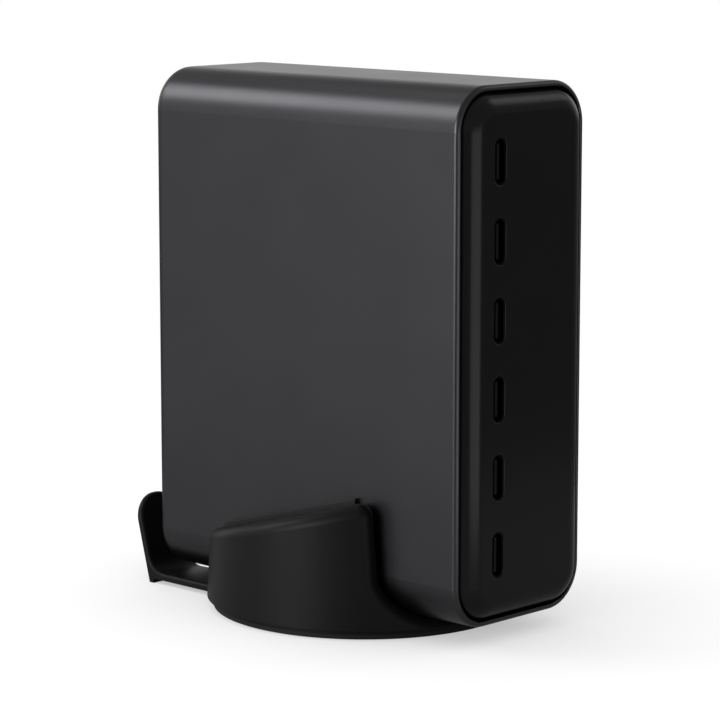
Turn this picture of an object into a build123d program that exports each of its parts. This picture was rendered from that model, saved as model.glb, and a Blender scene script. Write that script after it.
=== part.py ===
from build123d import *
import os
from math import cos, radians, sin, sqrt, tan

# A tall desktop charger with six vertical USB-C sockets, standing in a round cradle with a cord fork behind.
# Millimetres. The origin is the middle of the cradle's foot on the desk, +Z is up and the sockets face -Y.

# Charger housing
charger_width = 36.3
charger_depth = 83.25
charger_height = 103.0
charger_setback = 0.76
corner_radius = 8.45
housing_wall = 1.6
back_wall = 2.0
rear_edge_radius = 3.0
rim_wall = 1.1
rim_depth = 6.0
rim_land = 0.25
rim_edge_radius = 0.2

# Front panel
panel_gap = 0.15
panel_proud = 2.0
panel_edge_radius = 4.0
panel_wall = 2.0

# USB-C sockets
port_count = 6
port_pitch = 14.95
port_offset = 8.35
usb_opening_length = 8.34
usb_opening_width = 2.56
usb_shell_wall = 0.25
usb_shell_depth = 7.35
usb_setback = 0.2
usb_slot_clearance = 0.06
slot_edge_radius = 0.2
tongue_width = 6.7
tongue_thickness = 0.7
tongue_setback = 0.5
tongue_root = 2.0

# Mains inlet, two round pins in a figure-of-eight mouth
inlet_height = 28.5
inlet_lobe_radius = 4.1
inlet_lobe_spacing = 6.0
inlet_wall = 1.2
inlet_depth = 10.0
inlet_floor = 2.0
inlet_flange_width = 1.6
inlet_flange_thickness = 1.0
inlet_fit = 0.1
pin_diameter = 2.4
pin_spacing = 8.6
pin_setback = 1.0
pin_tip_radius = 0.8
pin_tail = 1.5
pin_fit = 0.03
wire_diameter = 1.8
wire_run = 5.0
wire_bend = 3.0

# Circuit board, its rails and the sheets on the side walls
board_thickness = 1.6
board_fit = 0.15
board_front_gap = 1.0
board_rear_gap = 1.0
rail_thickness = 1.2
rail_height = 2.0
sheet_thickness = 0.5
spreader_thickness = 1.0
sheet_margin = 1.0
thermal_pad_thickness = 1.5

# Parts on the board
part_gap = 1.5
inductor_size = 7.0
inductor_height = 5.0
inductor_edge_radius = 0.8
output_can_diameter = 6.3
output_can_height = 9.0
bulk_can_count = 2
bulk_can_diameter = 14.0
bulk_can_height = 22.0
can_edge_radius = 0.8
can_groove_depth = 0.5
can_groove_height = 2.5
transformer_length = 26.0
transformer_width = 19.0
transformer_post = 10.0
choke_length = 22.0
choke_width = 16.0
choke_post = 8.0
core_plate = 4.0
core_leg = 2.6
winding_fit = 0.2
line_choke_diameter = 16.0
line_choke_hole = 8.0
line_choke_thickness = 6.0
line_choke_wire = 1.6
line_choke_sweep = 140.0
safety_can_length = 13.0
safety_can_width = 6.0
safety_can_height = 12.0
fuse_diameter = 5.0
fuse_height = 8.0
bridge_length = 15.0
bridge_width = 14.0
bridge_height = 4.0
bridge_chamfer = 1.2

# Cradle
pad_thickness = 0.9
pad_edge_radius = 0.2
plate_thickness = 1.4
cradle_floor = 1.41
plate_radius = 30.6
cradle_radius = 31.95
cradle_draft = 3.2
cradle_lift = 1.9
cradle_wall = 2.0
cheek_height = 21.1
cheek_slope = 15.3
cheek_edge_radius = 2.5
channel_clearance = 0.15
channel_edge_extra = 0.1
plate_fit = 0.1

# Grip liners on the cheeks
liner_thickness = 1.1
liner_rise = 1.05
liner_front = 15.7
liner_rear = 21.7
liner_corner_radius = 0.3
liner_tail_radius = 3.0
liner_edge_radius = 0.3
liner_fit = 0.08

# Cord fork behind the cradle
tail_width = 37.2
tail_flare = 7.0
fork_gap = 14.8
fork_gap_front = 32.2
prong_thickness = 1.6
prong_foot = 44.55
prong_lean = 15.0
prong_height = 17.7
prong_bend = 4.5
prong_edge_radius = 0.65
prong_tip_flat = 0.6
prong_foot_radius = 0.4

# Screws that hold the base plate
screw_diameter = 2.4
screw_length = 9.0
screw_head_diameter = 4.6
screw_head_height = 1.1
screw_fit = 0.03
screw_hole_clearance = 0.2
boss_diameter = 5.6
screw_spread_x = 24.0
screw_spread_y = 10.0

# Heights and places that follow from the sizes
plate_bottom = pad_thickness
plate_top = plate_bottom + plate_thickness
charger_bottom = plate_top + cradle_floor
charger_middle = charger_bottom + charger_height / 2
charger_top = charger_bottom + charger_height
rim_y = charger_setback - charger_depth / 2
back_y = charger_setback + charger_depth / 2
face_y = rim_y - panel_proud
panel_inset = rim_wall + panel_gap
panel_inner_y = face_y + panel_wall
ledge_y = rim_y + rim_depth
inside_back_y = back_y - back_wall
inside_x = charger_width / 2 - housing_wall
inside_bottom = charger_bottom + housing_wall
inside_top = charger_top - housing_wall

usb_length = usb_opening_length + 2 * usb_shell_wall
usb_width = usb_opening_width + 2 * usb_shell_wall
slot_length = usb_length + 2 * usb_slot_clearance
slot_width = usb_width + 2 * usb_slot_clearance
usb_front_y = face_y + usb_setback
usb_rear_y = usb_front_y + usb_shell_depth
port_x = -port_offset
port_heights = [charger_middle + (i - (port_count - 1) / 2) * port_pitch for i in range(port_count)]

board_face = port_x - usb_width / 2
board_back = board_face - board_thickness
board_middle = board_face - board_thickness / 2


def corner_rise(x, inset):
    """Height of the rounded corner above the flat, at x, on the charger's outline drawn inset all round."""
    radius = corner_radius - inset
    past_flat = max(0.0, abs(x) - (charger_width / 2 - corner_radius))
    return radius - sqrt(radius**2 - past_flat**2)


board_edge = corner_rise(board_back, housing_wall) + board_fit
board_bottom = inside_bottom + board_edge
board_top = inside_top - board_edge
board_front_y = panel_inner_y + board_front_gap
board_rear_y = inside_back_y - board_rear_gap
spreader_face = inside_x - spreader_thickness
core_top = spreader_face - thermal_pad_thickness
core_height = core_top - board_face


def facing(y, x=0.0, z=charger_middle):
    """Sketch plane at depth y that looks out of the front, with local axes along X and Z."""
    return Plane(origin=(x, y, z), x_dir=(1, 0, 0), z_dir=(0, -1, 0))


def on_board(y, z):
    """Sketch plane on the board's component side, with local axes along Y and Z."""
    return Plane(origin=(board_face, y, z), x_dir=(0, 1, 0), z_dir=(1, 0, 0))


def write(piece, name):
    """Labels a finished piece and writes it as its own file."""
    piece.label = name
    export_step(piece, f"parts/{name}.step")


def outline(inset):
    """The charger's rounded outline, drawn inset all round."""
    RectangleRounded(charger_width - 2 * inset, charger_height - 2 * inset, corner_radius - inset)


def pillow(inset, front_y, edge_radius):
    """Block of the panel's form, from the ledge out to front_y, with a rounded front edge."""
    with BuildPart() as block:
        with BuildSketch(facing(ledge_y)):
            outline(inset)
        extrude(amount=ledge_y - front_y)
        fillet(block.faces().sort_by(Axis.Y)[0].edges(), edge_radius)
    return block.part


os.makedirs("parts", exist_ok=True)

# Housing: a deep cup with a rounded back, a rounded rim for the panel and rails for the board
with BuildPart() as housing:
    with BuildSketch(facing(back_y)):
        outline(0)
    extrude(amount=charger_depth)
    fillet(housing.faces().sort_by(Axis.Y)[-1].edges(), rear_edge_radius)
    with BuildSketch(facing(inside_back_y)):
        outline(housing_wall)
    extrude(amount=charger_depth - back_wall, mode=Mode.SUBTRACT)
    rail_front_y = ledge_y + panel_wall
    rail_length = inside_back_y - rail_front_y
    rail_reach = board_thickness / 2 + board_fit + rail_thickness / 2
    rail_root = housing_wall / 2
    for rail_x in (board_middle - rail_reach, board_middle + rail_reach):
        for wall_z, inward in ((inside_bottom, 1), (inside_top, -1)):
            rail_tip = wall_z + inward * (board_edge + rail_height)
            rail_base = wall_z - inward * rail_root
            with Locations((rail_x, rail_front_y + rail_length / 2, (rail_tip + rail_base) / 2)):
                Box(rail_thickness, rail_length, abs(rail_tip - rail_base))
    with BuildSketch(facing(ledge_y)):
        outline(rim_wall)
    extrude(amount=rim_depth, mode=Mode.SUBTRACT)
    inlet_z = charger_bottom + inlet_height
    inlet_length = inlet_lobe_spacing + 2 * (inlet_lobe_radius + inlet_wall)
    inlet_width = 2 * (inlet_lobe_radius + inlet_wall)
    with BuildSketch(facing(back_y, z=inlet_z)):
        SlotOverall(inlet_length + 2 * inlet_fit, inlet_width + 2 * inlet_fit, rotation=90)
    extrude(amount=back_wall, mode=Mode.SUBTRACT)
    fillet(housing.faces().sort_by(Axis.Y)[0].outer_wire().edges(), rim_wall - rim_land)
    fillet(housing.faces().sort_by(Axis.Y)[0].inner_wires().edges(), rim_edge_radius)
write(housing.part, "housing")

# Front panel: a black moulded pillow with a skirt that seats on the ledge inside the rim
panel_outside = pillow(panel_inset, face_y, panel_edge_radius)
panel_inside = pillow(panel_inset + panel_wall, panel_inner_y, panel_edge_radius - panel_wall)
with BuildPart() as front_panel:
    add(panel_outside)
    add(panel_inside, mode=Mode.SUBTRACT)
    with BuildSketch(facing(panel_inner_y)):
        for port_z in port_heights:
            with Locations((port_x, port_z - charger_middle)):
                SlotOverall(slot_length, slot_width, rotation=90)
    extrude(amount=panel_wall, mode=Mode.SUBTRACT)
    panel_face = front_panel.faces().sort_by(Axis.Y)[0]
    fillet([edge for wire in panel_face.inner_wires() for edge in wire.edges()], slot_edge_radius)
write(front_panel.part, "front_panel")

# USB-C sockets: a folded steel shell with a moulded tongue, soldered to the board
for number, port_z in enumerate(reversed(port_heights), start=1):
    with BuildPart() as usb_shell:
        with BuildSketch(facing(usb_rear_y, port_x, port_z)):
            SlotOverall(usb_length, usb_width, rotation=90)
            SlotOverall(usb_opening_length, usb_opening_width, rotation=90, mode=Mode.SUBTRACT)
        extrude(amount=usb_shell_depth)
    write(usb_shell.part, f"usb_shell_{number}")

    with BuildPart() as usb_tongue:
        with BuildSketch(facing(usb_rear_y, port_x, port_z)):
            SlotOverall(usb_opening_length, usb_opening_width, rotation=90)
        extrude(amount=tongue_root)
        with BuildSketch(facing(usb_rear_y, port_x, port_z)):
            Rectangle(tongue_thickness, tongue_width)
        extrude(amount=usb_shell_depth - tongue_setback)
    write(usb_tongue.part, f"usb_tongue_{number}")

# Mains inlet: a moulded socket with a flange outside the back wall, and two plated pins
flange_y = back_y + inlet_flange_thickness
mouth_floor_y = flange_y - inlet_depth
inlet_end_y = mouth_floor_y - inlet_floor
with BuildPart() as inlet_body:
    with BuildSketch(facing(back_y, z=inlet_z)):
        SlotOverall(inlet_length, inlet_width, rotation=90)
    extrude(amount=back_y - inlet_end_y)
    with BuildSketch(facing(flange_y, z=inlet_z)):
        SlotOverall(inlet_length + 2 * inlet_flange_width, inlet_width + 2 * inlet_flange_width, rotation=90)
    extrude(amount=inlet_flange_thickness)
    with BuildSketch(facing(flange_y, z=inlet_z)):
        with GridLocations(0, inlet_lobe_spacing, 1, 2):
            Circle(inlet_lobe_radius)
    extrude(amount=inlet_depth, mode=Mode.SUBTRACT)
    with BuildSketch(facing(mouth_floor_y, z=inlet_z)):
        with GridLocations(0, pin_spacing, 1, 2):
            Circle(pin_diameter / 2 + pin_fit)
    extrude(amount=inlet_floor, mode=Mode.SUBTRACT)
write(inlet_body.part, "inlet_body")

pin_end_y = inlet_end_y - pin_tail
pin_tip_y = flange_y - pin_setback
for name, side in (("lower", -1), ("upper", 1)):
    pin_z = inlet_z + side * pin_spacing / 2
    with BuildPart() as inlet_pin:
        with BuildSketch(facing(pin_tip_y, z=pin_z)):
            Circle(pin_diameter / 2)
        extrude(amount=pin_tip_y - pin_end_y)
        fillet(inlet_pin.edges().sort_by(Axis.Y)[-1], pin_tip_radius)
    write(inlet_pin.part, f"inlet_pin_{name}")

    # Mains wire from the pin's tail round to the board
    with BuildPart() as inlet_wire:
        with BuildLine(Plane.XY.offset(pin_z)):
            wire_path = FilletPolyline(
                (0, pin_end_y),
                (0, pin_end_y - wire_run),
                (board_face, pin_end_y - wire_run),
                radius=wire_bend,
            )
        with BuildSketch(facing(pin_end_y, z=pin_z)):
            Circle(wire_diameter / 2)
        sweep(path=wire_path)
    write(inlet_wire.part, f"inlet_wire_{name}")

# Main board: slides into the rails, with a narrower nose inside the panel's skirt
nose_inset = panel_inset + panel_wall
nose_height = charger_height - 2 * (nose_inset + corner_rise(board_back, nose_inset) + board_fit)
with BuildPart() as main_board:
    with BuildSketch(Plane(origin=(board_back, 0, charger_middle), x_dir=(0, 1, 0), z_dir=(1, 0, 0))):
        with Locations(((board_front_y + board_rear_y) / 2, 0)):
            Rectangle(board_rear_y - board_front_y, nose_height)
        with Locations(((rail_front_y + board_rear_y) / 2, 0)):
            Rectangle(board_rear_y - rail_front_y, board_top - board_bottom)
    extrude(amount=board_thickness)
    nose_corners = main_board.edges().filter_by(Axis.X).group_by(Axis.Y)[0]
    chamfer(nose_corners, panel_edge_radius - panel_wall)
write(main_board.part, "main_board")

# Insulating sheet on the left wall and aluminium heat spreader on the right wall
sheet_length = inside_back_y - rail_front_y - 2 * sheet_margin
sheet_height = charger_height - 2 * (corner_radius + sheet_margin)
sheet_place = (rail_front_y + sheet_margin + sheet_length / 2, 0)
with BuildPart() as insulation_sheet:
    with BuildSketch(Plane(origin=(-inside_x, 0, charger_middle), x_dir=(0, 1, 0), z_dir=(1, 0, 0))):
        with Locations(sheet_place):
            RectangleRounded(sheet_length, sheet_height, sheet_margin)
    extrude(amount=sheet_thickness)
write(insulation_sheet.part, "insulation_sheet")

with BuildPart() as heat_spreader:
    with BuildSketch(Plane(origin=(spreader_face, 0, charger_middle), x_dir=(0, 1, 0), z_dir=(1, 0, 0))):
        with Locations(sheet_place):
            RectangleRounded(sheet_length, sheet_height, sheet_margin)
    extrude(amount=spreader_thickness)
write(heat_spreader.part, "heat_spreader")

# Output stage: one moulded inductor and one capacitor can behind each socket
inductor_y = usb_rear_y + part_gap + inductor_size / 2
output_can_y = inductor_y + inductor_size / 2 + part_gap + output_can_diameter / 2


def capacitor_can(y, z, diameter, height):
    """Aluminium can standing on the board, with a rolled edge and a crimp groove near its foot."""
    with BuildPart() as can:
        with BuildSketch(on_board(y, z)):
            Circle(diameter / 2)
        extrude(amount=height)
        fillet(can.faces().sort_by(Axis.X)[-1].edges(), can_edge_radius)
        with BuildSketch(on_board(y, z).offset(can_groove_height - can_groove_depth)):
            Circle(diameter / 2)
            Circle(diameter / 2 - can_groove_depth, mode=Mode.SUBTRACT)
        extrude(amount=2 * can_groove_depth, mode=Mode.SUBTRACT)
    return can.part


for number, port_z in enumerate(reversed(port_heights), start=1):
    with BuildPart() as output_inductor:
        with BuildSketch(on_board(inductor_y, port_z)):
            Rectangle(inductor_size, inductor_size)
        extrude(amount=inductor_height)
        fillet(output_inductor.edges().filter_by(Axis.X), inductor_edge_radius)
    write(output_inductor.part, f"output_inductor_{number}")
    write(
        capacitor_can(output_can_y, port_z, output_can_diameter, output_can_height),
        f"output_capacitor_{number}",
    )

# Mains side, along the board's rear edge: bulk capacitors and rectifier above the inlet, filter below it
rear_column_y = board_rear_y - part_gap - bulk_can_diameter / 2
bulk_start_z = inlet_z + inlet_length / 2 + part_gap + bulk_can_diameter / 2
bulk_pitch = bulk_can_diameter + part_gap
for number in range(1, bulk_can_count + 1):
    bulk_z = bulk_start_z + (number - 1) * bulk_pitch
    write(
        capacitor_can(rear_column_y, bulk_z, bulk_can_diameter, bulk_can_height),
        f"bulk_capacitor_{number}",
    )

bridge_z = bulk_start_z + (bulk_can_count - 1) * bulk_pitch + bulk_pitch / 2 + bridge_width / 2
with BuildPart() as bridge_rectifier:
    with BuildSketch(on_board(board_rear_y - part_gap - bridge_length / 2, bridge_z)):
        Rectangle(bridge_length, bridge_width)
    extrude(amount=bridge_height)
    upper_corners = bridge_rectifier.edges().filter_by(Axis.X).group_by(Axis.Z)[-1]
    chamfer(upper_corners.sort_by(Axis.Y)[-1], bridge_chamfer)
write(bridge_rectifier.part, "bridge_rectifier")

safety_y = board_rear_y - part_gap - safety_can_length / 2
safety_z = board_bottom + rail_height + part_gap + safety_can_width / 2
with BuildPart() as safety_capacitor:
    with BuildSketch(on_board(safety_y, safety_z)):
        Rectangle(safety_can_length, safety_can_width)
    extrude(amount=safety_can_height)
    fillet(safety_capacitor.faces().sort_by(Axis.X)[-1].edges(), can_edge_radius)
write(safety_capacitor.part, "safety_capacitor")

fuse_y = safety_y - safety_can_length / 2 - part_gap - fuse_diameter / 2
with BuildPart() as mains_fuse:
    with BuildSketch(on_board(fuse_y, safety_z)):
        Circle(fuse_diameter / 2)
    extrude(amount=fuse_height)
    fillet(mains_fuse.faces().sort_by(Axis.X)[-1].edges(), can_edge_radius)
write(mains_fuse.part, "mains_fuse")

# Magnetics in the middle column: transformer on top, boost choke under it, line choke at the bottom
front_column_end = output_can_y + output_can_diameter / 2
middle_y = (front_column_end + rear_column_y - bulk_can_diameter / 2) / 2


def wound_core(name, z, length, width, post):
    """Ferrite core with a round post and two legs, its winding, and the soft pad that meets the spreader."""
    window_radius = length / 2 - core_leg
    with BuildPart() as core:
        with BuildSketch(on_board(middle_y, z)):
            Rectangle(length, width)
        extrude(amount=core_height)
        with BuildSketch(on_board(middle_y, z).offset(core_plate)):
            Circle(window_radius)
            Circle(post / 2, mode=Mode.SUBTRACT)
        extrude(amount=core_height - 2 * core_plate, mode=Mode.SUBTRACT)
    write(core.part, f"{name}_core")

    with BuildPart() as winding:
        with BuildSketch(on_board(middle_y, z).offset(core_plate + winding_fit)):
            Circle(window_radius - winding_fit)
            Circle(post / 2 + winding_fit, mode=Mode.SUBTRACT)
        extrude(amount=core_height - 2 * (core_plate + winding_fit))
    write(winding.part, f"{name}_winding")

    with BuildPart() as thermal_pad:
        with BuildSketch(on_board(middle_y, z).offset(core_height)):
            RectangleRounded(length, width, part_gap)
        extrude(amount=thermal_pad_thickness)
    write(thermal_pad.part, f"{name}_thermal_pad")


transformer_reach = transformer_length / 2 - core_leg
choke_reach = choke_length / 2 - core_leg
transformer_z = charger_middle + sheet_height / 2 - transformer_reach
choke_z = transformer_z - transformer_reach - part_gap - choke_reach
wound_core("transformer", transformer_z, transformer_length, transformer_width, transformer_post)
wound_core("boost_choke", choke_z, choke_length, choke_width, choke_post)

line_choke_reach = line_choke_diameter / 2 + line_choke_wire
line_choke_z = board_bottom + rail_height + 2 * part_gap + safety_can_width + line_choke_reach
ring_base = line_choke_wire + winding_fit
with BuildPart() as line_choke_core:
    with BuildSketch(on_board(middle_y, line_choke_z).offset(ring_base)):
        Circle(line_choke_diameter / 2)
        Circle(line_choke_hole / 2, mode=Mode.SUBTRACT)
    extrude(amount=line_choke_thickness)
write(line_choke_core.part, "line_choke_core")

ring_width = (line_choke_diameter - line_choke_hole) / 2
ring_middle = (line_choke_diameter + line_choke_hole) / 4
ring_centre = (board_face + ring_base + line_choke_thickness / 2, middle_y, line_choke_z)
for name, middle_angle in (("upper", 90), ("lower", 270)):
    start = radians(middle_angle - line_choke_sweep / 2)
    section = Plane(ring_centre, x_dir=(0, cos(start), sin(start)), z_dir=(0, -sin(start), cos(start)))
    with BuildPart() as line_choke_winding:
        with BuildSketch(section):
            with Locations((ring_middle, 0)):
                Rectangle(ring_width + 2 * ring_base, line_choke_thickness + 2 * ring_base)
                Rectangle(
                    ring_width + 2 * winding_fit, line_choke_thickness + 2 * winding_fit, mode=Mode.SUBTRACT
                )
        revolve(axis=Axis(ring_centre, (1, 0, 0)), revolution_arc=line_choke_sweep)
    write(line_choke_winding.part, f"line_choke_winding_{name}")

# Cradle: a round moulding with a sloped top, a channel of the charger's own form and hollow cheeks
slope_rise = tan(radians(cheek_slope))
channel_edge_radius = cheek_edge_radius + channel_edge_extra
channel_half = charger_width / 2 + channel_clearance


def cradle_wall_radius(z):
    """Outer radius of the drafted wall at height z."""
    return cradle_radius - z * tan(radians(cradle_draft))


def sloped_puck(inset, bottom):
    """Drafted round block under the sloped top, drawn inset all round, from the height bottom up."""
    peak = cheek_height + cradle_radius
    with BuildPart() as puck:
        with BuildSketch(Plane.XZ):
            with BuildLine():
                Polyline(
                    (0, bottom),
                    (cradle_wall_radius(bottom) - inset, bottom),
                    (cradle_wall_radius(peak) - inset, peak),
                    (0, peak),
                    close=True,
                )
            make_face()
        revolve(axis=Axis.Z)
        slope = Plane(
            origin=(0, 0, cheek_height - inset),
            x_dir=(1, 0, 0),
            z_dir=(0, sin(radians(cheek_slope)), cos(radians(cheek_slope))),
        )
        split(bisect_by=slope, keep=Keep.BOTTOM)
    return puck.part


screw_places = GridLocations(2 * screw_spread_x, 2 * screw_spread_y, 2, 2).local_locations
with BuildPart() as cheek_hollow:
    add(sloped_puck(cradle_wall, plate_top))
    with Locations((0, 0, charger_middle)):
        Box(2 * (channel_half + cradle_wall), 4 * cradle_radius, 2 * charger_middle, mode=Mode.SUBTRACT)
    with BuildSketch():
        with Locations(screw_places):
            Circle(boss_diameter / 2)
    extrude(amount=charger_middle, mode=Mode.SUBTRACT)


tail_end_y = prong_foot - prong_bend


def plate_plan(margin):
    """Draws the base plate's plan: a disc with a wide tail behind it, grown by a margin all round."""
    Circle(plate_radius + margin)
    with Locations((0, tail_end_y / 2)):
        Rectangle(tail_width + 2 * margin, tail_end_y)
    inner_corners = [v for v in vertices() if abs(v.X) < plate_radius and v.Y < plate_radius]
    fillet(inner_corners, tail_flare - margin)


def liner_side(margin):
    """Draws a grip liner's side: a flat foot, and a top that stands a little above the sloped cheek."""
    foot = charger_bottom + corner_radius - margin
    front = -liner_front - margin
    rear = liner_rear + margin
    top = cheek_height + liner_rise
    rear_top = (rear, top - slope_rise * rear)
    with BuildLine() as edge:
        Polyline((front, foot), (rear, foot), rear_top, (front, top - slope_rise * front), close=True)
    make_face(edge.edges())
    corners = vertices().sort_by_distance(rear_top)
    fillet(corners[0], liner_tail_radius)
    fillet(corners[1:], liner_corner_radius)


with BuildPart() as cradle:
    add(sloped_puck(0, -channel_edge_radius))
    with BuildSketch(facing(cradle_radius)):
        RectangleRounded(2 * channel_half, charger_height, corner_radius)
    extrude(amount=2 * cradle_radius, mode=Mode.SUBTRACT)
    cut_edges = cradle.edges(Select.LAST).filter_by(GeomType.LINE, reverse=True)
    fillet(cut_edges.filter_by(lambda edge: abs(edge.center().Y) > channel_half), channel_edge_radius)
    cheek_tops = cradle.faces().filter_by(GeomType.PLANE).sort_by(Axis.Z)[-2:]
    fillet(cheek_tops.edges(), cheek_edge_radius)
    split(bisect_by=Plane.XY.offset(cradle_lift), keep=Keep.TOP)
    add(cheek_hollow.part, mode=Mode.SUBTRACT)
    with BuildSketch(Plane.YZ):
        liner_side(liner_fit)
    extrude(amount=charger_width / 2 + liner_thickness, both=True, mode=Mode.SUBTRACT)
    with BuildSketch():
        plate_plan(plate_fit)
    extrude(amount=plate_top, mode=Mode.SUBTRACT)
    with BuildSketch(Plane.XY.offset(plate_top)):
        with Locations(screw_places):
            Circle(screw_diameter / 2 + screw_fit)
    extrude(amount=screw_length - plate_thickness + screw_fit, mode=Mode.SUBTRACT)
write(cradle.part, "cradle")

for name, side in (("left", -1), ("right", 1)):
    with BuildPart() as grip_liner:
        with BuildSketch(Plane.YZ.offset(side * charger_width / 2)):
            liner_side(0)
        extrude(amount=side * liner_thickness)
        outer_face = grip_liner.faces().sort_by(Axis.X)[-1 if side > 0 else 0]
        fillet(outer_face.edges().sort_by(Axis.Z)[-1], liner_edge_radius)
    write(grip_liner.part, f"grip_liner_{name}")

# Base plate: closes the cradle from below and runs back into two upright prongs with a gap for the cord
lean = tan(radians(prong_lean))
across = prong_thickness / cos(radians(prong_lean))
prong_width = (tail_width - fork_gap) / 2
tip_y = prong_foot + lean * prong_height
with BuildPart() as base_plate:
    with BuildSketch(Plane.XY.offset(plate_bottom)):
        plate_plan(0)
    extrude(amount=plate_thickness)
    with BuildSketch(Plane.YZ.offset(-tail_width / 2)) as prong_side:
        with BuildLine():
            Polyline(
                (fork_gap_front, plate_bottom),
                (prong_foot + lean * plate_bottom - across, plate_bottom),
                (prong_foot - across, 0),
                (prong_foot, 0),
                (tip_y, prong_height),
                (tip_y - across, prong_height),
                (prong_foot + lean * plate_top - across, plate_top),
                (fork_gap_front, plate_top),
                close=True,
            )
        make_face()
        bend_corner = (prong_foot - across, plate_top)
        foot_corner = (prong_foot - across, plate_bottom)
        fillet(prong_side.vertices().sort_by_distance(bend_corner)[0], prong_bend)
        fillet(prong_side.vertices().sort_by_distance(foot_corner)[0], prong_foot_radius)
    extrude(amount=tail_width)
    with BuildSketch():
        with Locations((0, fork_gap_front + fork_gap / 2)):
            Circle(fork_gap / 2)
        with Locations((0, fork_gap_front + fork_gap / 2 + prong_foot / 2)):
            Rectangle(fork_gap, prong_foot)
    extrude(amount=2 * prong_height, mode=Mode.SUBTRACT)
    tip_edges = base_plate.faces().sort_by(Axis.Z)[-2:].edges().filter_by(Axis.X, reverse=True)
    fillet(tip_edges, (prong_width - prong_tip_flat) / 2)
    through_prongs = Axis((0, 0, 0), (0, cos(radians(prong_lean)), -sin(radians(prong_lean))))
    prong_edges = base_plate.faces().filter_by(through_prongs).edges()
    upright_edges = prong_edges.filter_by(lambda edge: edge.center().Z > prong_bend)
    fillet(upright_edges, prong_edge_radius)
    with Locations([Pos(0, 0, plate_bottom) * place for place in screw_places]):
        Cone(
            screw_head_diameter / 2 + screw_fit,
            screw_diameter / 2 + screw_fit,
            screw_head_height,
            align=(Align.CENTER, Align.CENTER, Align.MIN),
            mode=Mode.SUBTRACT,
        )
        Cylinder(
            screw_diameter / 2 + screw_hole_clearance,
            plate_thickness,
            align=(Align.CENTER, Align.CENTER, Align.MIN),
            mode=Mode.SUBTRACT,
        )
write(base_plate.part, "base_plate")

with BuildPart() as base_screws:
    with Locations([Pos(0, 0, plate_bottom) * place for place in screw_places]):
        Cone(
            screw_head_diameter / 2,
            screw_diameter / 2,
            screw_head_height,
            align=(Align.CENTER, Align.CENTER, Align.MIN),
        )
        Cylinder(screw_diameter / 2, screw_length, align=(Align.CENTER, Align.CENTER, Align.MIN))
write(base_screws.part, "base_screws")

# Foot pad: a soft disc stuck under the base plate, over the screw heads
with BuildPart() as foot_pad:
    with BuildSketch():
        Circle(plate_radius)
    extrude(amount=pad_thickness)
    fillet(foot_pad.faces().sort_by(Axis.Z)[0].edges(), pad_edge_radius)
write(foot_pad.part, "foot_pad")
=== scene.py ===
from math import pi

import bpy
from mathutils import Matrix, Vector


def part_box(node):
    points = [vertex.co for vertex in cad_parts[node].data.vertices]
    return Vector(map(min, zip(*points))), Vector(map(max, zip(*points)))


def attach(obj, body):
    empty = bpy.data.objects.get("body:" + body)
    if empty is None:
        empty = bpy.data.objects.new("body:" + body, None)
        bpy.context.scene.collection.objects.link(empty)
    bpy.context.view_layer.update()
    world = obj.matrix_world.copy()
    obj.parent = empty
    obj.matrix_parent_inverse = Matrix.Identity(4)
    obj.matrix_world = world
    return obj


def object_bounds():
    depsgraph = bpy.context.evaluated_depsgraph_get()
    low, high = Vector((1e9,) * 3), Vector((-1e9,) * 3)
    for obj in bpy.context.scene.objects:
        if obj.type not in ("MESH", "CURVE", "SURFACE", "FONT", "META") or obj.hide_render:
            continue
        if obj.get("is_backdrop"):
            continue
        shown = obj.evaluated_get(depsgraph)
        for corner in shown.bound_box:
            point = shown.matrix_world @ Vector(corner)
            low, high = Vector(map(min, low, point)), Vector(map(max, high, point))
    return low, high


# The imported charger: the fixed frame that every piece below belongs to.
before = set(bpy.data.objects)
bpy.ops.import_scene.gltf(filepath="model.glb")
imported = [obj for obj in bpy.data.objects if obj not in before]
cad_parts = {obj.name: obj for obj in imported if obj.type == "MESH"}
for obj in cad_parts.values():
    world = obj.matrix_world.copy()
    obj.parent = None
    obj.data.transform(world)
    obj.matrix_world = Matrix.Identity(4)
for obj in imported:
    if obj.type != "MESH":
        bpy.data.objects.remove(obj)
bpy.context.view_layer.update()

# Camera: a long lens from the front left, a little higher than the top of the charger.
# It looks down by about nine degrees, so the upright edges converge only slightly.
camera_place = Vector((-0.42571, -0.40758, 0.14513))
camera_back = Vector((-0.71185, -0.68383, 0.16014))
camera_data = bpy.data.cameras.new("camera")
camera_data.sensor_width = 36.0
camera_data.lens = 149.55
camera_data.clip_start = 0.01
camera = bpy.data.objects.new("camera", camera_data)
camera.location = camera_place
camera.rotation_euler = camera_back.to_track_quat("Z", "Y").to_euler()
bpy.context.scene.collection.objects.link(camera)
bpy.context.scene.camera = camera
bpy.context.scene.view_settings.view_transform = "Standard"


class Socket:
    """A node socket: arithmetic on it adds Math nodes, and node() adds a node of any other kind."""

    def __init__(self, tree, socket=None):
        self.tree = tree
        self.socket = socket

    def node(self, kind, settings=None, inputs=None, output=0):
        made = self.tree.nodes.new(kind if "Node" in kind else "ShaderNode" + kind)
        for name, value in (settings or {}).items():
            setattr(made, name, value)
        for name, value in (inputs or {}).items():
            if isinstance(value, Socket):
                self.tree.links.new(value.socket, made.inputs[name])
            else:
                made.inputs[name].default_value = value
        return Socket(self.tree, made.outputs[output]) if made.outputs else None

    def math(self, operation, first, second):
        return self.node("Math", {"operation": operation}, {0: first, 1: second})

    def __add__(self, other):
        return self.math("ADD", self, other)

    def __sub__(self, other):
        return self.math("SUBTRACT", self, other)

    def __rsub__(self, other):
        return self.math("SUBTRACT", other, self)

    def __mul__(self, other):
        return self.math("MULTIPLY", self, other)

    __radd__ = __add__
    __rmul__ = __mul__
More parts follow.
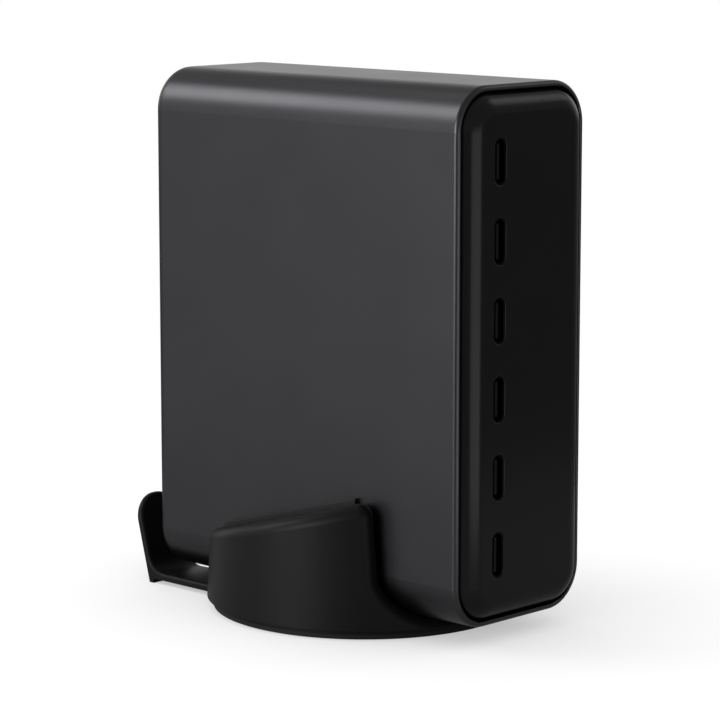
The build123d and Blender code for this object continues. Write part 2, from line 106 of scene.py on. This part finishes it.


# Floor: a small plain sheet of white card that keeps the soft shadows the lamps cast from the charger.
# A little light of its own lifts it to the white of the room. Close under the charger that glow fades,
# which paints a soft contact shadow there.
floor_reach = 0.14
card_tone = 0.3
floor_glow = 0.45
painted_shadow_glow = 0.42
mirror_share = 0.25
shadow_reach = 0.05
floor_mesh = bpy.data.meshes.new("studio_floor")
floor_mesh.from_pydata(
    [(x * floor_reach, y * floor_reach, 0) for x, y in ((-1, -1), (1, -1), (1, 1), (-1, 1))],
    [],
    [(0, 1, 2, 3)],
)
floor = bpy.data.objects.new("studio_floor", floor_mesh)
bpy.context.scene.collection.objects.link(floor)
floor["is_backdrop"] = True
floor_finish = bpy.data.materials.new("floor_white")
floor_finish.use_nodes = True
floor_finish.node_tree.nodes.clear()
card = Socket(floor_finish.node_tree)
seen, mirrored, through = (
    card.node("LightPath", output=f"Is {kind} Ray") for kind in ("Camera", "Glossy", "Transmission")
)
matt = card.node("BsdfDiffuse", inputs={"Color": (card_tone, card_tone, card_tone, 1)})
# Painted shadow: ambient occlusion dims part of the floor's glow close under the charger.
painted_shadow_ao = card.node("AmbientOcclusion", inputs={"Distance": shadow_reach}, output="AO")
lift = (seen + (mirrored + through) * mirror_share) * (floor_glow + painted_shadow_glow * painted_shadow_ao)
glow = card.node("Emission", inputs={"Color": (1, 1, 1, 1), "Strength": lift})
both = card.node("AddShader", inputs={0: matt, 1: glow})
card.node("OutputMaterial", inputs={"Surface": both})
floor_mesh.materials.append(floor_finish)

# Room: white to the eye, with a white cove behind the charger that also shows in its reflections.
# The rest of the studio is dim, and darker still below the horizon.
dim_level = 0.3
dark_level = 0.14
cove_span = (0.3, 0.7)
ceiling_span = (0.25, 0.5)
horizon_span = (-0.08, 0.08)
room = bpy.data.worlds.new("white_room")
bpy.context.scene.world = room
room.use_nodes = True
room.node_tree.nodes.clear()
walls = Socket(room.node_tree)
seen, mirrored, through = (
    walls.node("LightPath", output=f"Is {kind} Ray") for kind in ("Camera", "Glossy", "Transmission")
)
direction = walls.node("TexCoord", output="Generated")
behind = walls.node("VectorMath", {"operation": "DOT_PRODUCT"}, {0: direction, 1: -camera_back}, "Value")
height = walls.node("SeparateXYZ", inputs={"Vector": direction}, output="Z")


def fade(value, span):
    """Rises smoothly from 0 to 1 across a span."""
    limits = {"Value": value, "From Min": span[0], "From Max": span[1]}
    return walls.node("MapRange", {"interpolation_type": "SMOOTHSTEP"}, limits)


cove = fade(behind, cove_span)
ceiling = fade(height, ceiling_span)
above = fade(height, horizon_span)
white = walls.node("Background", inputs={"Color": (1, 1, 1, 1), "Strength": 1.0})
level = dark_level + above * (dim_level - dark_level)
dim = walls.node("Background", inputs={"Color": (1, 1, 1, 1), "Strength": level})
share = seen + (mirrored + through) * cove * above * (1 - ceiling)
mixed = walls.node("MixShader", inputs={0: share, 1: dim, 2: white})
walls.node("OutputWorld", inputs={"Surface": mixed})

# Soft boxes: flat lamps behind diffusers, all turned towards the middle of the charger.
# Those at the left and behind draw the bright line along its upper edge, the others the edges of its front.
lamp_distance = 1.2
lamp_target = Vector((0, 0, 0.055))


def soft_box(name, direction, width, height, radiance):
    """Hangs one lamp at the set distance, with a brightness that doesn't depend on its size."""
    lamp = bpy.data.lights.new(name, "AREA")
    lamp.shape = "RECTANGLE"
    lamp.size = width
    lamp.size_y = height
    lamp.energy = radiance * pi * width * height
    hung = bpy.data.objects.new(name, lamp)
    outward = Vector(direction).normalized()
    hung.location = lamp_target + lamp_distance * outward
    hung.rotation_euler = outward.to_track_quat("Z", "Y").to_euler()
    hung.visible_camera = False
    bpy.context.scene.collection.objects.link(hung)


soft_box("left_box", (-0.98, 0.14, 0.14), 0.7, 0.45, 8.0)
soft_box("rear_left_box", (-0.47, 0.69, 0.545), 0.6, 0.45, 5.5)
soft_box("rear_box", (0.0, 0.5, 0.866), 0.45, 0.45, 1.0)
soft_box("left_wall", (-0.71, 0.68, -0.12), 1.2, 1.0, 0.42)
soft_box("right_box", (0.71, -0.3, 0.55), 0.4, 0.5, 1.3)
soft_box("front_box", (-0.05, -0.98, -0.15), 1.2, 0.42, 1.8)

# Foot pad: a soft silicone disc, die-cut and stuck under the base plate over the screw heads.
# It is matt black, with the faint mottle of rubber that has been handled.
cloud_scale = 60.0
sheen_low = 0.9
sheen_change = 0.2


def start_finish(name):
    """A new material, and the socket with its Object coordinates."""
    material = bpy.data.materials.new(name)
    material.use_nodes = True
    material.node_tree.nodes.clear()
    return material, Socket(material.node_tree).node("TexCoord", output="Object")


def moulded(name, colour, roughness, specular, grain_size, grain_depth, mottle=0.12, metal=0.0):
    """A finish with a fine even grain: tiny bumps, a slight mottle and a change in its sheen."""
    material, place = start_finish(name)
    grain = place.node("TexNoise", inputs={"Vector": place, "Scale": 1 / grain_size, "Detail": 2.0})
    cloud = place.node("TexNoise", inputs={"Vector": place, "Scale": cloud_scale, "Detail": 3.0})
    shade = 1 - mottle + mottle * (grain + cloud)
    tone = place.node("VectorMath", {"operation": "SCALE"}, {0: colour, "Scale": shade})
    bump = place.node("Bump", inputs={"Height": grain, "Distance": grain_depth, "Strength": 1.0})
    shader = place.node(
        "BsdfPrincipled",
        inputs={
            "Base Color": tone,
            "Roughness": roughness * (sheen_low + sheen_change * cloud),
            "Metallic": metal,
            "Specular IOR Level": specular,
            "Normal": bump,
        },
    )
    place.node("OutputMaterial", inputs={"Surface": shader})
    return material


def dress(material, *names):
    """Puts a finish on CAD nodes."""
    for name in names:
        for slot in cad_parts[name].material_slots:
            slot.material = material


silicone = moulded("silicone_black", (0.011, 0.011, 0.011), 0.6, 0.2, 0.0004, 0.00001)
dress(silicone, "foot_pad")

# Base plate: a black moulding that closes the cradle from below and runs back into two prongs for the cord.
# Four zinc-plated countersunk screws hold it up against the cradle.
black_moulding = moulded("cradle_black", (0.006, 0.006, 0.0062), 0.44, 0.13, 0.00025, 0.000008)
dress(black_moulding, "base_plate")
zinc = moulded("screw_zinc", (0.5, 0.5, 0.52), 0.35, 0.5, 0.0006, 0.000004, metal=1.0)
dress(zinc, "base_screws")

# Cradle: a round black moulding with sloped cheeks and a channel that the charger stands in.
# It is moulded in one piece, with the same fine spark-eroded texture as the base plate.
dress(black_moulding, "cradle")

# Grip liners: two silicone strips that hold the charger's sides, a little higher than the cheeks.
# Each is pressed into a pocket in its cheek and has the pad's dull finish.
dress(silicone, "grip_liner_left", "grip_liner_right")

# Housing: a deep cup with a rounded back and a thin rim, dark grey with a fine metallic coat.
# The coat is sprayed over a blasted surface, so it has a very fine grain and a satin sheen.
housing_coat = moulded(
    "housing_grey", (0.06, 0.06, 0.064), 0.36, 0.5, 0.00018, 0.000003, mottle=0.05, metal=1.0
)
dress(housing_coat, "housing")

# Insulation sheet and heat spreader: a milky film on the left wall, rolled aluminium on the right wall.
# Both are cut flat and laid inside the housing before the board goes in.
film = moulded("insulation_film", (0.5, 0.5, 0.45), 0.3, 0.5, 0.002, 0.00001)
dress(film, "insulation_sheet")
rolled_sheet = moulded("spreader_aluminium", (0.66, 0.66, 0.68), 0.35, 0.5, 0.001, 0.000008, metal=1.0)
dress(rolled_sheet, "heat_spreader")

# Main board: a glass-fibre sheet under green solder resist, slid into the housing's rails.
# The resist lets the glass weave show through as a fine mottle.
board_green = moulded("board_green", (0.02, 0.13, 0.05), 0.35, 0.5, 0.0008, 0.00002, mottle=0.25)
dress(board_green, "main_board")

# Output stage: one pressed-powder inductor and one aluminium can behind each socket.
# They are soldered to the board in a row.
socket_count = 6
powder = moulded("inductor_powder", (0.09, 0.09, 0.095), 0.7, 0.3, 0.0003, 0.00004, mottle=0.3)
can = moulded("can_aluminium", (0.62, 0.62, 0.64), 0.3, 0.5, 0.0008, 0.000006, metal=1.0)
for number in range(1, socket_count + 1):
    dress(powder, f"output_inductor_{number}")
    dress(can, f"output_capacitor_{number}")

# Mains side: bulk capacitors in a shrunk sleeve, a rectifier, a boxed safety capacitor and a fuse.
# The rectifier's package and the fuse's case are moulded, and the capacitor's box is cast full of resin.
sleeve = moulded("capacitor_sleeve", (0.02, 0.02, 0.05), 0.3, 0.5, 0.001, 0.00001)
dress(sleeve, "bulk_capacitor_1", "bulk_capacitor_2")
package = moulded("rectifier_package", (0.02, 0.02, 0.02), 0.6, 0.4, 0.0003, 0.00002)
dress(package, "bridge_rectifier")
yellow_box = moulded("safety_box", (0.6, 0.4, 0.05), 0.45, 0.4, 0.0005, 0.00001)
dress(yellow_box, "safety_capacitor")
fuse_case = moulded("fuse_case", (0.12, 0.05, 0.03), 0.45, 0.4, 0.0005, 0.00001)
dress(fuse_case, "mains_fuse")

# Magnetics: sintered ferrite cores with taped and enamelled copper windings.
# Soft blue pads carry their heat to the spreader, and the line choke is wound on a coated ring.
ferrite = moulded("ferrite_grey", (0.06, 0.06, 0.065), 0.6, 0.4, 0.0002, 0.00002, mottle=0.3)
dress(ferrite, "transformer_core", "boost_choke_core")
tape = moulded("winding_tape", (0.62, 0.44, 0.03), 0.3, 0.5, 0.002, 0.00001)
dress(tape, "transformer_winding")
copper = moulded("winding_copper", (0.62, 0.22, 0.06), 0.35, 0.5, 0.0006, 0.00006, metal=1.0)
dress(copper, "boost_choke_winding", "line_choke_winding_upper", "line_choke_winding_lower")
pad_blue = moulded("thermal_pad_blue", (0.16, 0.3, 0.5), 0.8, 0.2, 0.0005, 0.00003)
dress(pad_blue, "transformer_thermal_pad", "boost_choke_thermal_pad")
ring_coat = moulded("choke_ring_green", (0.04, 0.2, 0.1), 0.5, 0.4, 0.0005, 0.00001)
dress(ring_coat, "line_choke_core")

# Mains inlet: a black moulded socket pushed into the back wall, with two nickel-plated brass pins.
# A blue and a brown wire run from the pins to the board.
inlet_black = moulded("inlet_black", (0.01, 0.01, 0.0105), 0.5, 0.3, 0.0003, 0.00001)
dress(inlet_black, "inlet_body")
nickel = moulded("pin_nickel", (0.66, 0.66, 0.67), 0.25, 0.5, 0.0008, 0.000003, metal=1.0)
dress(nickel, "inlet_pin_lower", "inlet_pin_upper")
blue_sheath = moulded("wire_blue", (0.03, 0.1, 0.4), 0.45, 0.4, 0.0006, 0.00001)
dress(blue_sheath, "inlet_wire_lower")
brown_sheath = moulded("wire_brown", (0.16, 0.06, 0.02), 0.45, 0.4, 0.0006, 0.00001)
dress(brown_sheath, "inlet_wire_upper")

# USB-C sockets: a folded steel shell plated black, round a tongue moulded in black.
# Each is soldered to the front edge of the board behind its slot.
black_plate = moulded("socket_black_plate", (0.01, 0.01, 0.0105), 0.4, 0.5, 0.0005, 0.000003, metal=1.0)
tongue_black = moulded("tongue_black", (0.005, 0.005, 0.005), 0.45, 0.15, 0.0004, 0.000003)
for number in range(1, socket_count + 1):
    dress(black_plate, f"usb_shell_{number}")
    dress(tongue_black, f"usb_tongue_{number}")

# USB-C contacts: twelve gold-plated strips on each face of each tongue.
# They are stamped from copper alloy, and the tongue is moulded round them so that only their faces show.
contact_count = 12
contact_pitch = 0.0005
contact_size = (0.00002, 0.0032, 0.00028)
contact_setback = 0.0011
contact_reach = 0.000362
gold = moulded("contact_gold", (0.75, 0.52, 0.2), 0.25, 0.5, 0.0005, 0.000002, metal=1.0)
contact_rows = bpy.data.node_groups.new("contact_rows", "GeometryNodeTree")
contact_rows.interface.new_socket("Tongues", in_out="INPUT", socket_type="NodeSocketGeometry")
contact_sizes = {}
for name, kind, size in (
    ("Count", "NodeSocketInt", contact_count),
    ("Pitch", "NodeSocketFloat", contact_pitch),
    ("Size", "NodeSocketVector", contact_size),
    ("Reach", "NodeSocketFloat", contact_reach),
):
    made = contact_rows.interface.new_socket(name, in_out="INPUT", socket_type=kind)
    contact_sizes[made.identifier] = size
contact_rows.interface.new_socket("Contacts", in_out="OUTPUT", socket_type="NodeSocketGeometry")
entry = contact_rows.nodes.new("NodeGroupInput")
given = {socket.name: Socket(contact_rows, socket) for socket in entry.outputs}
count, pitch, reach = given["Count"], given["Pitch"], given["Reach"]
strip = pitch.node("GeometryNodeMeshCube", inputs={"Size": given["Size"]})
first = pitch.node("CombineXYZ", inputs={"Z": (count - 1) * pitch * -0.5})
step = pitch.node("CombineXYZ", inputs={"Z": pitch})
line = {"Count": count, "Start Location": first, "Offset": step}
row_line = pitch.node("GeometryNodeMeshLine", inputs=line)
row = pitch.node("GeometryNodeInstanceOnPoints", inputs={"Points": row_line, "Instance": strip})
left = pitch.node("CombineXYZ", inputs={"X": reach * -1})
across = pitch.node("CombineXYZ", inputs={"X": reach * 2})
line = {"Count": 2, "Start Location": left, "Offset": across}
both_faces = pitch.node("GeometryNodeMeshLine", inputs=line)
rows = pitch.node("GeometryNodeInstanceOnPoints", inputs={"Points": both_faces, "Instance": row})
laid = pitch.node("GeometryNodeInstanceOnPoints", inputs={"Points": given["Tongues"], "Instance": rows})
solid = pitch.node("GeometryNodeRealizeInstances", inputs={"Geometry": laid})
gilt = pitch.node("GeometryNodeSetMaterial", inputs={"Geometry": solid, "Material": gold})
pitch.node("NodeGroupOutput", inputs={"Contacts": gilt})
tongue_places = []
for number in range(1, socket_count + 1):
    low, high = (Vector(corner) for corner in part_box(f"usb_tongue_{number}"))
    middle = (low + high) / 2
    tongue_places.append((middle.x, low.y + contact_setback + contact_size[1] / 2, middle.z))
contact_mesh = bpy.data.meshes.new("usb_contacts")
contact_mesh.from_pydata(tongue_places, [], [])
contacts = bpy.data.objects.new("usb_contacts", contact_mesh)
bpy.context.scene.collection.objects.link(contacts)
layout = contacts.modifiers.new("contact_rows", "NODES")
layout.node_group = contact_rows
for identifier, size in contact_sizes.items():
    layout[identifier] = size
whole = contacts.evaluated_get(bpy.context.evaluated_depsgraph_get())
contacts.data = bpy.data.meshes.new_from_object(whole)
contacts.modifiers.remove(contacts.modifiers["contact_rows"])
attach(contacts, "root")

# Front panel: a black moulded pillow with six slots, snapped into the housing's rim.
# Its tool was polished and then lightly blasted, so it is smoother than the cradle.
panel_black = moulded("panel_black", (0.006, 0.006, 0.0062), 0.26, 0.2, 0.00022, 0.000003, mottle=0.06)
dress(panel_black, "front_panel")

# Size: the box of the dressed charger, leaving out the floor.
low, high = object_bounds()
